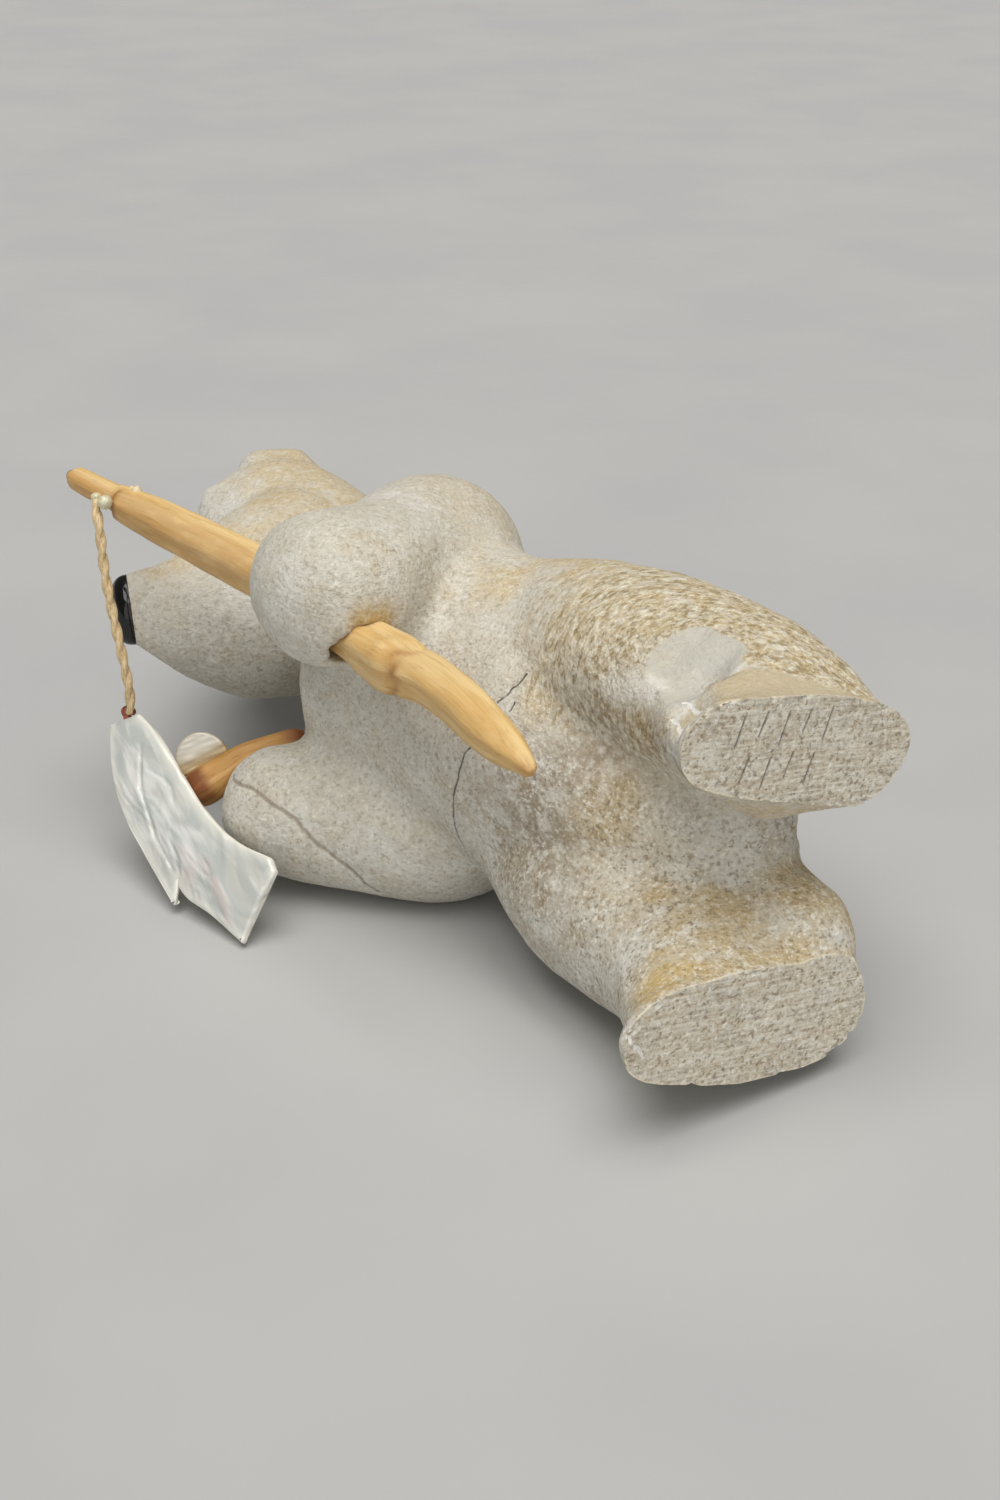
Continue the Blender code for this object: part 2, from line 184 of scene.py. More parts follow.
# The fish lies in the plane of its plate: along it from the head, and across it.
FISH_HEAD = (-13.3, -26.9, 101.4)
FISH_TAIL = (-32.1, -25.5, 66.3)
FISH_FACING = (0.4, -0.88, -0.22)
FISH_THICKNESS = 1.6
FISH_EDGE = 0.55  # how far its rounded edge reaches in
FISH = [(-0.8, -3.2, True), (1.3, 1.8, True), (5.5, 2.8, False), (14.5, 3.4, False), (20.8, 4, False),
        (27.7, 5.9, False), (33.7, 9.4, True), (35.8, 9.1, True), (40.6, 0, True), (34.7, -2, False),
        (27.4, -4.7, False), (26.2, -4.2, True), (28.9, -6.7, True), (18.9, -7.3, False),
        (12.1, -7.4, False), (5.5, -6.1, False)]
# Lines carved into it: the line, its width and its depth.
FISH_LINES = [([(5, 0.6), (7.7, -1), (11.3, -3), (14.6, -3.6), (18.6, -4.3), (22, -4.2), (26.3, -4.2)],
               0.55, 0.42),
              ([(9.1, -0.9), (12.8, 0.9), (14.5, 1.3), (17.4, 0.5)], 0.5, 0.16),
              ([(19.3, -1.7), (23.8, -2.8), (26, -3.8)], 0.6, 0.2),
              ([(24.2, -1.4), (26.5, -0.7), (29, -0.2), (30.2, 0.9)], 0.35, 0.25),
              ([(25.4, 0.6), (29.2, 0.8), (30.2, 0.9)], 0.35, 0.25)]
FISH_GRID = 0.3

# The hatchet's handle, thin end first, and its blade.
HANDLE = [(-11.1, -9.2, 83.2, 0.8), (-11.7, -10.3, 83.6, 1.6), (-13, -13.1, 84.6, 1.85),
          (-14.8, -16.5, 86.2, 2), (-17, -19, 87, 2.4), (-19, -21.1, 87.9, 2.75),
          (-20, -22.3, 88.8, 2.4), (-20.5, -22.9, 89.3, 1.2)]
BLADE_AT = (-18.3, -20.4, 87.9)
BLADE_UP = (0.8, -0.15, 0.6)
BLADE_FLAT = 2  # from the handle's middle to the blade's straight edge
BLADE_MIDDLE = 2.7  # from the handle's middle to the widest part of the blade
BLADE_RADIUS = 3.8
BLADE_RISE = 4.2
BLADE_THICKNESS = 1.2
BLADE_EDGE = 0.4
BLADE_GRID = 0.18

# The nose's cap.
NOSE_HEIGHT = 3
NOSE_ROUND = 2.5  # 2 is an ellipse, more is squarer
NOSE_SIDES, NOSE_RINGS = 96, 22
NOSE_SUNK = 0.25  # how far it reaches into the muzzle
# The line's knot beside its hole, and drops of glue: middle x, y, z and radius of each lobe.
KNOT = [(16.4, -31.45, 104.9, 1), (16, -31.3, 105.9, 0.75), (16.1, -31.1, 108.4, 0.7)]
ROD_GLUE = [(18, -27.2, 104.4, 0.75), (18.1, -27.4, 105.2, 0.5)]
FISH_GLUE = [(-12.8, -27, 101.75, 0.8), (-13.5, -27, 101.35, 0.6), (-12.6, -26.5, 101.1, 0.55)]
DROP_GRID = 0.09


def to_world(points):
    """Places on the standing bear, in millimetres, as places in the room, in metres."""
    return (np.asarray(points, float) @ TURN.T + SOLES_AT) * MM


def to_bear(points):
    """The way back: places in the room as places on the standing bear."""
    return (np.asarray(points, float) / MM - SOLES_AT) @ TURN


def catmull_rom(rows, steps):
    """Rows of numbers joined smoothly, with so many steps between two rows."""
    rows = np.asarray(rows, float)
    padded = np.vstack([2 * rows[0] - rows[1], rows, 2 * rows[-1] - rows[-2]])
    t = np.arange(steps)[:, None] / steps
    joined = []
    for a, b, c, d in zip(padded, padded[1:], padded[2:], padded[3:]):
        bend = (2 * a - 5 * b + 4 * c - d) * t ** 2 + (3 * b - a - 3 * c + d) * t ** 3
        joined.append(0.5 * (2 * b + (c - a) * t + bend))
    return np.vstack([*joined, rows[-1]])


def step(start, end, x):
    """0 before the start, 1 beyond the end, and smooth between them. It falls where the start is higher."""
    t = np.clip((x - start) / (end - start), 0, 1)
    return t * t * (3 - 2 * t)


def unit(v):
    v = np.asarray(v, float)
    return v / np.linalg.norm(v, axis=-1, keepdims=True)


def rough(points, size, seed, octaves=2):
    """Smooth random heights, about -1 to 1, with bumps of about that size."""
    offset = Vector((seed * 17.3, seed * 5.1, seed * 9.7))
    return np.array([noise.fractal(Vector(p) + offset, 0.6, 2.1, octaves) for p in points / size])


def lengths(line):
    """How far along the line each of its points is."""
    return np.concatenate([[0], np.cumsum(np.linalg.norm(np.diff(line, axis=0), axis=1))])


def from_line(points, line):
    """How far each point is from the line, and how far along the line that is, from 0 to 1."""
    line = np.asarray(line, float)
    least = np.full(len(points), np.inf)
    share = np.zeros(len(points))
    before = lengths(line)
    for a, b, start, end in zip(line, line[1:], before, before[1:]):
        if end > start:
            t = np.clip((points - a) @ (b - a) / (end - start) ** 2, 0, 1)
            far = np.linalg.norm(points - a - t[:, None] * (b - a), axis=1)
            closer = far < least
            least[closer] = far[closer]
            share[closer] = ((start + t * (end - start)) / before[-1])[closer]
    return least, share


def from_lines(points, lines):
    """How far each point is from the nearest of the lines."""
    return np.min([from_line(points, line)[0] for line in lines], axis=0)


def grooves(points, lines, width):
    """1 in the middle of lines of that width, which fade towards their ends, and 0 beside them."""
    return np.max([step(width, 0, far) * step(0, 0.12, share) * step(1, 0.88, share)
                   for far, share in (from_line(points, line) for line in lines)], axis=0)


def tree_of(places):
    tree = KDTree(len(places))
    for i, p in enumerate(places):
        tree.insert((*p, 0)[:3], i)
    tree.balance()
    return tree


def nearest(points, places):
    """How far each point is from the nearest of these places."""
    tree = tree_of(places)
    return np.array([tree.find((*p, 0)[:3])[2] for p in points])


def patches(points, rows):
    """The sum of round patches: middle, radius and strength of each."""
    total = 0
    for x, y, z, radius, strength in rows:
        total += strength * np.exp(-((points - (x, y, z)) ** 2).sum(1) / radius ** 2)
    return total


def link(name, data):
    """An object with that data, in the scene."""
    obj = bpy.data.objects.new(name, data)
    bpy.context.scene.collection.objects.link(obj)
    return obj


def evaluated(data, *modifiers):
    """The mesh of a curve or mesh after these modifiers, each a kind and its settings."""
    draft = link("draft", data)
    for kind, settings in modifiers:
        modifier = draft.modifiers.new(kind.lower(), kind)
        for key, value in settings.items():
            setattr(modifier, key, value)
    mesh = bpy.data.meshes.new_from_object(draft.evaluated_get(bpy.context.evaluated_depsgraph_get()))
    bpy.data.objects.remove(draft)
    return mesh


def from_arrays(name, points, faces, mat):
    """A piece made of these points, in metres in the room."""
    mesh = bpy.data.meshes.new(name)
    mesh.from_pydata([tuple(p) for p in points], [], [tuple(f) for f in faces])
    mesh.update()
    return as_piece(name, mesh, mat)


def as_piece(name, mesh, mat):
    """A smooth piece of the carving."""
    mesh.polygons.foreach_set("use_smooth", [True] * len(mesh.polygons))
    mesh.materials.clear()
    mesh.materials.append(mat)
    obj = link(name, mesh)
    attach(obj, "root")
    return obj


def move(mesh, places):
    """Moves the mesh's points to these places in the room."""
    mesh.vertices.foreach_set("co", places.astype(np.float32).ravel())
    mesh.update()


def put_attributes(obj, **attributes):
    """Gives each point of the object its own value of these, a number or a place."""
    for name, values in attributes.items():
        kind, field = ("FLOAT_VECTOR", "vector") if values.ndim == 2 else ("FLOAT", "value")
        attribute = obj.data.attributes.new(name, kind, "POINT")
        attribute.data.foreach_set(field, values.astype(np.float32).ravel())


class Finish:
    """A material under way: short calls for the nodes that its colour, roughness and bump are made of."""

    def __init__(self, name, colour, **sockets):
        self.mat = bpy.data.materials.new(name)
        self.mat.use_nodes = True
        self.tree = self.mat.node_tree
        self.shader = self.tree.nodes["Principled BSDF"]
        for socket, value in sockets.items():
            self.shader.inputs[socket.replace("_", " ")].default_value = value
        self.place = self.node("ShaderNodeTexCoord", {}).outputs["Object"]
        self.colour = (*colour, 1)

    def plug(self, node, inputs):
        """Gives a node its inputs, each a value or another node's output."""
        for key, value in inputs.items():
            if isinstance(value, bpy.types.NodeSocket):
                self.tree.links.new(value, node.inputs[key])
            elif value is not None:
                node.inputs[key].default_value = value

    def node(self, kind, inputs, **settings):
        made = self.tree.nodes.new(kind)
        for key, value in settings.items():
            setattr(made, key, value)
        self.plug(made, inputs)
        return made

    def attribute(self, name, output="Fac"):
        return self.node("ShaderNodeAttribute", {}, attribute_name=name).outputs[output]

    def noise(self, size, detail=3, roughness=0.55, distortion=0, place=None):
        """Grey clouds of about that size in millimetres."""
        inputs = {"Vector": self.place if place is None else place, "Scale": 1 / (size * MM),
                  "Detail": detail, "Roughness": roughness, "Distortion": distortion}
        return self.node("ShaderNodeTexNoise", inputs).outputs["Fac"]

    def grains(self, size, place, channel):
        """A random shade for each grain of about that size in millimetres. Each channel has its own."""
        made = self.node("ShaderNodeTexVoronoi", {"Vector": place, "Scale": 1 / (size * MM)})
        return self.axis(channel, made.outputs["Color"])

    def stretched(self, scale, place):
        """The place with each axis multiplied, so that a texture gets longer along one of them."""
        return self.node("ShaderNodeVectorMath", {0: place, 1: scale}, operation="MULTIPLY").outputs[0]

    def warped(self, place, size, reach):
        """The place moved about by noise, at most that many millimetres, for grains with ragged edges."""
        wave = self.node("ShaderNodeTexNoise", {"Vector": place, "Scale": 1 / (size * MM)})
        inputs = {0: wave.outputs["Color"], 1: (2 * reach * MM,) * 3, 2: place}
        return self.node("ShaderNodeVectorMath", inputs, operation="MULTIPLY_ADD").outputs[0]

    def ramp(self, value, low, high, to_low=0, to_high=1):
        """A value from low to high as a value from to_low to to_high, and no further."""
        inputs = {"Value": value, "From Min": low, "From Max": high, "To Min": to_low, "To Max": to_high}
        return self.node("ShaderNodeMapRange", inputs, interpolation_type="SMOOTHSTEP").outputs["Result"]

    def math(self, operation, a, b):
        return self.node("ShaderNodeMath", {0: a, 1: b}, operation=operation).outputs[0]

    def times(self, first, *others):
        for other in others:
            first = self.math("MULTIPLY", first, other)
        return first

    def axis(self, index, place):
        return self.node("ShaderNodeSeparateXYZ", {0: place}).outputs[index]

    def paint(self, tint, *shares):
        """That colour over what is painted so far, as strong as the product of the shares."""
        inputs = {0: self.times(*shares), 6: self.colour, 7: (*tint, 1)}
        self.colour = self.node("ShaderNodeMix", inputs, data_type="RGBA").outputs[2]

    def bump(self, height, depth, below=None):
        """Relief of that depth in millimetres, on top of the relief below."""
        inputs = {"Height": height, "Distance": depth * MM, "Normal": below}
        return self.node("ShaderNodeBump", inputs).outputs["Normal"]

    def done(self, roughness, normal):
        self.plug(self.shader, {"Base Color": self.colour, "Roughness": roughness, "Normal": normal})
        return self.mat


def sandstone():
    """Pale granular stone with a golden rind, brown stains, cracks, chips and sawn ends."""
    f = Finish("sandstone", (0.71, 0.69, 0.62), IOR=1.45)
    place = f.attribute("place", "Vector")
    coarse, calm = f.attribute("coarse"), f.attribute("calm")
    smooth, bevel = f.attribute("smooth"), f.attribute("bevel")
    ragged = f.warped(place, 0.5, 0.3)
    fine_grain = f.grains(0.36, ragged, 0)
    big_grain = f.grains(0.8, ragged, 1)
    fine = f.noise(0.5, detail=4, roughness=0.7, place=f.stretched((1, 0.55, 0.85), place))
    clouds = f.noise(9, detail=4, place=place)
    blotch = f.noise(2.4, detail=4, roughness=0.6, place=place)
    patchy = f.noise(4.5, place=f.stretched((1, 1, 1.3), place))

    f.paint((0.645, 0.61, 0.52), f.ramp(clouds, 0.4, 0.62))
    f.paint((0.66, 0.58, 0.43), f.ramp(blotch, 0.48, 0.66, 0, 0.35), f.ramp(calm, 0, 1, 1, 0.45))
    f.paint((0.8, 0.78, 0.71), coarse, f.ramp(patchy, 0.53, 0.6, 0, 0.6))
    f.paint((0.52, 0.43, 0.3), coarse, f.ramp(patchy, 0.47, 0.39, 0, 0.6))
    f.paint((0.62, 0.46, 0.21), f.attribute("golden"), f.ramp(blotch, 0.3, 0.6, 0.5, 1))
    f.paint((0.24, 0.155, 0.075), f.attribute("stained"), f.ramp(blotch, 0.38, 0.58))

    strokes = f.noise(0.75, detail=2, place=f.attribute("strokes", "Vector"))
    rasped = f.times(f.attribute("rasped"), f.ramp(patchy, 0.3, 0.48, 0.55, 1))
    # Brown and cream strokes over the rasped part, following the relief of the strokes: painted shade in
    # the rasp's grooves and painted highlight on its ridges.
    f.paint((0.34, 0.25, 0.11), rasped, f.ramp(strokes, 0.47, 0.38), 0.78)
    f.paint((0.88, 0.82, 0.65), rasped, f.ramp(strokes, 0.54, 0.63), 0.78)

    sole = f.ramp(f.axis(2, place), 0.12 * MM, 0.04 * MM)
    saw = f.noise(0.5, roughness=0.6, place=f.stretched((1, 0.05, 1), place))
    f.paint((0.66, 0.57, 0.42), sole, f.ramp(patchy, 0.42, 0.56, 0.2, 0.8))
    f.paint((0.86, 0.81, 0.69), sole, f.ramp(saw, 0.46, 0.6, 0, 0.75))
    f.paint((0.45, 0.37, 0.26), sole, f.ramp(saw, 0.42, 0.34, 0, 0.5))
    f.paint((0.565, 0.545, 0.475), smooth, 0.9)
    f.paint((0.62, 0.52, 0.35), bevel, 0.9)
    # Pale lines: painted highlight on the chest's ridge and on the toe facet's lip where it faces up, and
    # the pale band above the left toe.
    f.paint((0.84, 0.81, 0.73), f.attribute("pale"), 0.75)

    grit = f.math("ADD", f.math("ADD", f.times(fine_grain, 0.26), f.times(big_grain, 0.14)), fine)
    calmed = f.math("MAXIMUM", f.times(calm, 0.3), f.times(f.math("MAXIMUM", smooth, bevel), 0.7))
    depth = f.times(f.ramp(coarse, 0, 1, 0.41, 0.78), f.math("SUBTRACT", 1, calmed))
    f.paint((0.31, 0.24, 0.155), f.ramp(grit, 0.68, 0.46), depth)
    f.paint((0.94, 0.91, 0.82), f.ramp(grit, 0.73, 0.94), depth)
    f.paint((0.18, 0.14, 0.09), f.ramp(fine_grain, 0.05, 0.02), f.ramp(coarse, 0.2, 1, 0.08, 0.3))

    f.paint((0.06, 0.05, 0.045), f.ramp(f.attribute("crack"), 0.21, 0.07), 0.85)
    # The brown vein, and painted shade in the scores' grooves.
    f.paint((0.2, 0.135, 0.075), f.ramp(f.attribute("vein"), 0.42, 0.12), 0.6)
    # Cream near the soles' sawn rim, in blotches: painted highlight along the edge.
    rim = f.ramp(f.attribute("rim"), 0.34, 0.12)
    f.paint((0.88, 0.8, 0.6), rim, f.ramp(blotch, 0.4, 0.54, 0.1, 0.85))
    f.paint((0.14, 0.11, 0.08), f.attribute("scratched"))
    chipped = f.math("ADD", f.attribute("chipped"), f.times(fine, 0.25))
    f.paint((0.88, 0.86, 0.8), f.ramp(chipped, 0.55, 0.72))

    rough_part = f.math("SUBTRACT", 1, f.math("MAXIMUM", smooth, f.times(calm, 0.3)))
    relief = f.bump(clouds, 0.4)
    for height, share, deep in ((blotch, rough_part, 0.45), (strokes, rasped, 0.5), (saw, sole, 0.12),
                                (fine_grain, rough_part, 0.08)):
        relief = f.bump(f.times(f.math("SUBTRACT", height, 0.5), share), deep, relief)
    return f.done(f.ramp(fine, 0.3, 0.7, 0.95, 0.72), f.bump(fine, 0.28, relief))


def wood(name, pale, dark, deep):
    """Whittled wood: fibres along it, growth bands, and darker places given by its tube: dark spots in the
    wood and painted shade.
    """
    f = Finish(name, pale, IOR=1.45)
    place = f.attribute("grain", "Vector")
    fibre = f.noise(0.32, detail=4, roughness=0.65, place=f.stretched((1, 1, 0.05), place))
    band = f.noise(1.8, detail=2, distortion=0.6, place=f.stretched((1, 1, 0.1), place))
    blotch = f.noise(2.5, place=f.stretched((1, 1, 0.5), place))
    f.paint(dark, f.ramp(band, 0.38, 0.62))
    f.paint(deep, f.ramp(fibre, 0.5, 0.72, 0, 0.4))
    # Darker where the tube says so: dark spots in the wood, and painted shade.
    f.paint(deep, f.attribute("mark"), f.ramp(blotch, 0.25, 0.6, 0.5, 1))
    return f.done(f.ramp(fibre, 0.3, 0.7, 0.45, 0.62), f.bump(fibre, 0.1, f.bump(band, 0.1)))


def sinew():
    """Cream fibres that let a little light through."""
    f = Finish("sinew", (0.8, 0.64, 0.38), IOR=1.45, Subsurface_Weight=0.12, Subsurface_Scale=MM)
    place = f.stretched((1, 1, 0.16), f.attribute("grain", "Vector"))
    fibre = f.noise(0.2, roughness=0.65, place=place)
    f.paint((0.52, 0.36, 0.18), f.ramp(fibre, 0.35, 0.68))
    return f.done(f.ramp(fibre, 0.3, 0.7, 0.4, 0.65), f.bump(fibre, 0.12))


def pearl(name, base, cool, rosy, painted_sheen, edge):
    """Mother-of-pearl: bands of cool and rosy white in a glossy shell, pale streaks of painted sheen, and
    painted light in the edge colour where the plate says so.
    """
    f = Finish(name, base, IOR=1.53, Coat_Weight=0.5, Coat_Roughness=0.1)
    place = f.attribute("grain", "Vector")
    layers = f.noise(7, detail=2, distortion=1.2, place=f.stretched((0.4, 1, 1), place))
    streak = f.noise(2.2, detail=2.5, distortion=0.6, place=f.stretched((0.3, 1, 1), place))
    f.paint(cool, f.ramp(layers, 0.34, 0.52))
    f.paint(rosy, f.ramp(layers, 0.54, 0.68))
    # Pale streaks: painted sheen.
    f.paint(painted_sheen, f.ramp(streak, 0.46, 0.7, 0, 0.8))
    # The edge colour where the plate says so: a painted highlight on the fish's rim; on the blade, painted
    # shade and a painted reflection of the handle.
    f.paint(edge, f.attribute("mark"))
    return f.done(f.ramp(layers, 0.35, 0.65, 0.16, 0.32), f.bump(layers, 1.4, f.bump(streak, 0.12)))


def jet():
    f = Finish("polished_jet", (0.004, 0.004, 0.004), IOR=1.5)
    scuff = f.noise(0.8, detail=5)
    f.paint((0.02, 0.018, 0.016), f.ramp(scuff, 0.55, 0.8))
    return f.done(f.ramp(scuff, 0.4, 0.8, 0.1, 0.24), f.bump(scuff, 0.01))


def glue(name, colour, deep):
    f = Finish(name, colour, IOR=1.5)
    f.paint(deep, f.ramp(f.noise(0.6), 0.4, 0.62))
    return f.done(f.ramp(f.noise(0.4), 0.3, 0.7, 0.2, 0.4), f.bump(f.noise(0.5), 0.05))


def pale_floor():
    f = Finish("pale_floor", (0.47, 0.47, 0.47))
    f.paint((0.5, 0.5, 0.49), f.ramp(f.noise(60, detail=2), 0.3, 0.7))
    return f.done(f.ramp(f.noise(3), 0.3, 0.7, 0.6, 0.7), None)


def skin(rings, count):
    """The faces between rings of so many points that follow one another."""
    return [(i * count + j, i * count + (j + 1) % count, (i + 1) * count + (j + 1) % count,
             (i + 1) * count + j) for i in range(rings - 1) for j in range(count)]


def capped(rings, count):
    """Those faces with both ends closed. After the rings' own points come the middles of the two ends."""
    first, last, top = rings * count, rings * count + 1, (rings - 1) * count
    faces = skin(rings, count)
    for j in range(count):
        k = (j + 1) % count
        faces += [(k, j, first), (top + j, top + k, last)]
    return faces


def tube(name, rows, shape, mat, steps, sides, front=(0, 0, 1), mark=None):
    """A closed tube along rows of x, y, z and radius. Its angle is 0 on the side that looks to the front.

    shape(path, along, angle, radius) gives its real radius, and the last function, given path, along and
    angle, how dark it is: dark spots in the wood and painted shade.
    """
    rows = catmull_rom(rows, steps)
    path, radius = rows[:, :3], rows[:, 3:]
    along = lengths(path)[:, None]
    tangent = unit(np.gradient(path, axis=0))
    front = unit(np.asarray(front, float) - (tangent @ front)[:, None] * tangent)
    side = np.cross(tangent, front)
    angle = np.linspace(0, 2 * math.pi, sides, endpoint=False)[None, :]
    real = shape(path, along, angle, radius)
    x, y = real * np.cos(angle), real * np.sin(angle)
    rings = path[:, None] + x[..., None] * front[:, None] + y[..., None] * side[:, None]
    length = np.broadcast_to(along, x.shape)
    marks = np.zeros(x.shape) if mark is None else np.broadcast_to(mark(path, along, angle), x.shape)
    points = np.vstack([rings.reshape(-1, 3), path[0], path[-1]])
    obj = from_arrays(name, to_world(points), capped(len(path), sides), mat)
    ends = [(0, 0, along[0, 0]), (0, 0, along[-1, 0])]
    put_attributes(obj, grain=np.vstack([np.stack([x, y, length], -1).reshape(-1, 3), ends]) * MM,
                   mark=np.concatenate([marks.ravel(), marks[0, :1], marks[-1, :1]]))
    return obj


def outline_of(rows):
    """The points of a closed, smooth outline through the rows of x, y and whether that is a corner."""
    curve = bpy.data.curves.new("outline", "CURVE")
    curve.dimensions = "2D"
    curve.fill_mode = "NONE"
    curve.resolution_u = 10
    spline = curve.splines.new("BEZIER")
    spline.bezier_points.add(len(rows) - 1)
    spline.use_cyclic_u = True
    for point, (x, y, corner) in zip(spline.bezier_points, rows):
        point.co = (x, y, 0)
        point.handle_left_type = point.handle_right_type = "VECTOR" if corner else "AUTO"
    return np.array([v.co[:2] for v in evaluated(curve).vertices])


def fill_in(rim, edges, low, high, grid, gap):
    """An even net of triangles in a rim: its places, its faces, and the rim's own point at each place."""
    tree = tree_of(rim)
    inner = [Vector((x + (row % 2) * grid / 2, y))
             for row, y in enumerate(np.arange(low[1], high[1], grid * 0.866))
             for x in np.arange(low[0], high[0], grid)]
    inner = [p for p in inner if tree.find((*p, 0))[2] > gap * grid]
    net, _, faces, sources, _, _ = delaunay_2d_cdt([*rim, *inner], edges, [], 1, 1e-7)
    own = {i: next((s for s in sources[i] if s < len(rim)), None) for face in faces for i in face}
    return net, faces, own


def plate(name, outline, place, thickness, edge, grid, mat, mark, relief=None):
    """A plate with that outline and a rounded edge. relief(points) is how deep its front is carved."""
    points = np.vstack([outline, outline[:1]])
    along = lengths(points)
    even = np.linspace(0, along[-1], int(along[-1] / grid), endpoint=False)
    rim = np.stack([np.interp(even, along, points[:, k]) for k in (0, 1)], 1)
    if (rim[:, 0] * np.roll(rim[:, 1], -1) - rim[:, 1] * np.roll(rim[:, 0], -1)).sum() < 0:
        rim = rim[::-1]
    ahead = np.roll(rim, -1, axis=0) - np.roll(rim, 1, axis=0)
    inward = unit(np.stack([-ahead[:, 1], ahead[:, 0]], 1))
    turns = np.radians((0, 22, 45, 67, 90))
    rings = [rim + inward * edge * (1 - math.cos(a)) for a in turns]
    heights = [(thickness / 2 - edge) + edge * math.sin(a) for a in turns]
    count = len(rim)
    net, faces, own = fill_in([Vector(p) for p in rings[-1]], [(i, (i + 1) % count) for i in range(count)],
                              rim.min(0), rim.max(0), grid, 0.5)
    band = (len(turns) - 1) * count
    fresh = [i for i, old in own.items() if old is None]
    number = {i: band + old for i, old in own.items() if old is not None}
    number.update({i: band + count + k for k, i in enumerate(fresh)})
    side = np.vstack([*rings, np.array([tuple(net[i]) for i in fresh]).reshape(-1, 2)])
    height = np.concatenate([*[np.full(count, h) for h in heights], np.full(len(fresh), thickness / 2)])
    carved = height - (relief(side) if relief else 0) * step(0, thickness / 2, height)
    total = len(side)
    half = skin(len(turns), count) + [tuple(number[i] for i in face) for face in faces]
    under = [tuple(total + i for i in face[::-1]) for face in half]
    wall = [(total + i, total + (i + 1) % count, (i + 1) % count, i) for i in range(count)]
    local = np.vstack([np.column_stack([side, carved]), np.column_stack([side, -height])])
    obj = from_arrays(name, (local @ place[:, :3].T + place[:, 3]) * MM, half + under + wall, mat)
    # The rounded edge takes half of the edge colour: painted light along the rim, a highlight on the fish
    # and shade on the blade.
    rim_painted_light = step(thickness / 2, thickness / 2 - 0.6 * edge, height)
    put_attributes(obj, grain=local * MM, mark=np.tile(np.clip(0.5 * rim_painted_light + mark(side), 0, 1), 2))
    return obj


def lying_at(point, z_way, x_way):
    """The frame at a place on the bear with Z one way and X near another, as 3 x 4 numbers in the room."""
    z = unit(z_way)
    x = unit(np.asarray(x_way, float) - np.dot(x_way, z) * z)
    turn = TURN @ np.stack([x, np.cross(z, x), z], 1)
    return np.column_stack([turn, TURN @ np.asarray(point, float) + SOLES_AT])


def drops(name, lobes, mat, seed):
    """Small lumps that run into each other."""
    bm = bmesh.new()
    for x, y, z, radius in lobes:
        bmesh.ops.create_icosphere(bm, subdivisions=4, radius=radius, matrix=Matrix.Translation((x, y, z)))
    mesh = bpy.data.meshes.new(name)
    bm.to_mesh(mesh)
    bm.free()
    mesh = evaluated(mesh, ("REMESH", {"mode": "VOXEL", "voxel_size": DROP_GRID}),
                     ("SMOOTH", {"iterations": 3}))
    points = np.array([v.co for v in mesh.vertices])
    points += 0.06 * rough(points, 0.7, seed)[:, None] * np.array([v.normal for v in mesh.vertices])
    move(mesh, to_world(points))
    obj = as_piece(name, mesh, mat)
    put_attributes(obj, grain=points * MM)
    return obj


def smooth_out(points, edges, rounds):
    """Evens out a surface's small facets without shrinking it."""
    a, b = edges.T
    count = np.bincount(edges.ravel(), minlength=len(points))[:, None]
    for share in (0.5, -0.52) * rounds:
        total = np.empty_like(points)
        for k in range(3):
            total[:, k] = np.bincount(a, points[b, k], len(points))
            total[:, k] += np.bincount(b, points[a, k], len(points))
        points = points + share * (total / count - points)
    return points


def saw_off(bm, point, normal, reach, grid):
    """Saws the block off at a plane, closes the cut with an even net of triangles, and returns its rim."""
    near = [f for f in bm.faces if (f.calc_center_median() - point).length < reach]
    edges = dict.fromkeys(e for f in near for e in f.edges)
    verts = dict.fromkeys(v for f in near for v in f.verts)
    bmesh.ops.bisect_plane(bm, geom=[*near, *edges, *verts], plane_co=point, plane_no=normal,
                           clear_outer=True)
    rim = [e for e in bm.edges if e.is_boundary]
    rim_verts = list(dict.fromkeys(v for e in rim for v in e.verts))
    side = normal.orthogonal().normalized()
    up = normal.cross(side)
    flat = [Vector(((v.co - point).dot(side), (v.co - point).dot(up))) for v in rim_verts]
    place = {v: i for i, v in enumerate(rim_verts)}
    net, faces, own = fill_in(flat, [(place[e.verts[0]], place[e.verts[1]]) for e in rim],
                              np.min(flat, axis=0), np.max(flat, axis=0), grid, 0.6)
    sawn = bm.verts.layers.float["sawn"]
    made = {}
    for i, old in own.items():
        made[i] = bm.verts.new(point + net[i].x * side + net[i].y * up) if old is None else rim_verts[old]
        made[i][sawn] = 1.0
    for face in faces:
        bm.faces.new([made[i] for i in face]).normal_update()
    for edge in rim:
        edge.smooth = False
    bm.normal_update()
    return to_bear([v.co for v in rim_verts])


def shave(points, at, facing, reach):
    """Takes off what stands out beyond a plane, near a place on it, with a soft edge."""
    beyond = (points - at) @ unit(facing)
    rounded = np.clip(beyond + SHAVE_SOFT, 0, 2 * SHAVE_SOFT) ** 2 / (4 * SHAVE_SOFT)
    beyond = np.where(beyond > SHAVE_SOFT, beyond, rounded)
    near = step(reach, 0.6 * reach, np.linalg.norm(points - at, axis=1))
    return points - (near * beyond)[:, None] * unit(facing)


def swell(points, at, way, reach, amount):
    """Draws the surface out round a place."""
    near = np.clip(1 - ((points - at) ** 2).sum(1) / reach ** 2, 0, None) ** 2
    return points + amount * near[:, None] * unit(way)


def lip_height(points):
    """How far each point is above the lip of the facet over the left toe."""
    return points[:, 2] - np.interp(points[:, 1], *np.transpose(TOE_LIP))


